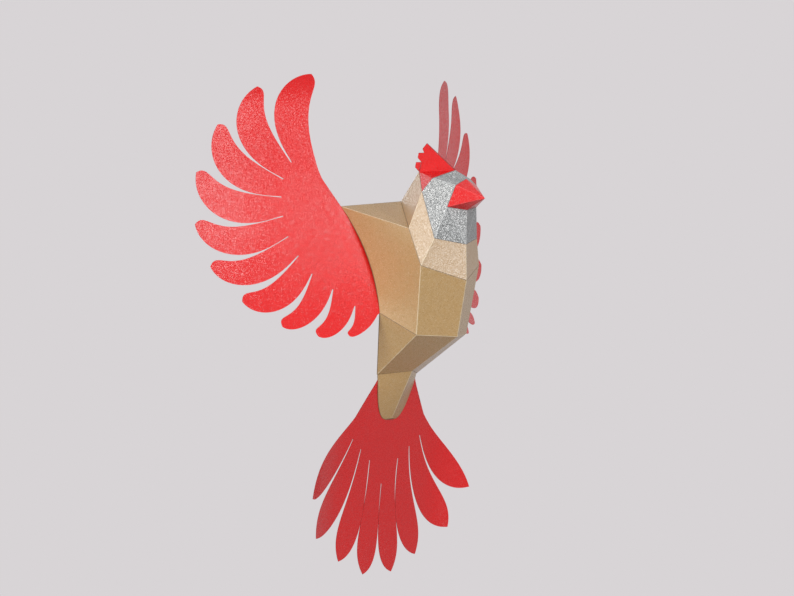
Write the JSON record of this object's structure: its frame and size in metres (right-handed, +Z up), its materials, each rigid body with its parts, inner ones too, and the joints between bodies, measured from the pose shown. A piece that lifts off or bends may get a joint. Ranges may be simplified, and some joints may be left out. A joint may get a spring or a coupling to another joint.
{
  "type": "hanging paper bird",
  "caption": "Hanging cardinal folded and glued from scored card, with raised cut-feather wings, a crest, a masked face and a fanned tail.",
  "frame": {"origin": "the nape, where the crown, the neck and the back meet and a thread would be tied", "axes": "the bird looks along -Y, +X is its left side, +Z is up as it hangs"},
  "size_m": [0.3426, 0.17, 0.424],
  "materials": {
    "gold_card": "pearlescent gold card, about 0.4 mm thick, scored, folded and glued",
    "silver_card": "pearlescent silver-grey card, about 0.4 mm thick",
    "red_card": "pearlescent red card, about 0.4 mm thick, cut and softly curled"
  },
  "bodies": {
    "root": {"torso": "gold_card", "back_panel": "gold_card", "neck_collar": "gold_card", "face_mask": "silver_card", "beak": "red_card", "crest": "red_card", "undertail_covert": "gold_card", "tail_fan": "red_card", "wing_left": "red_card", "wing_right": "red_card"}
  },
  "joints": []
}
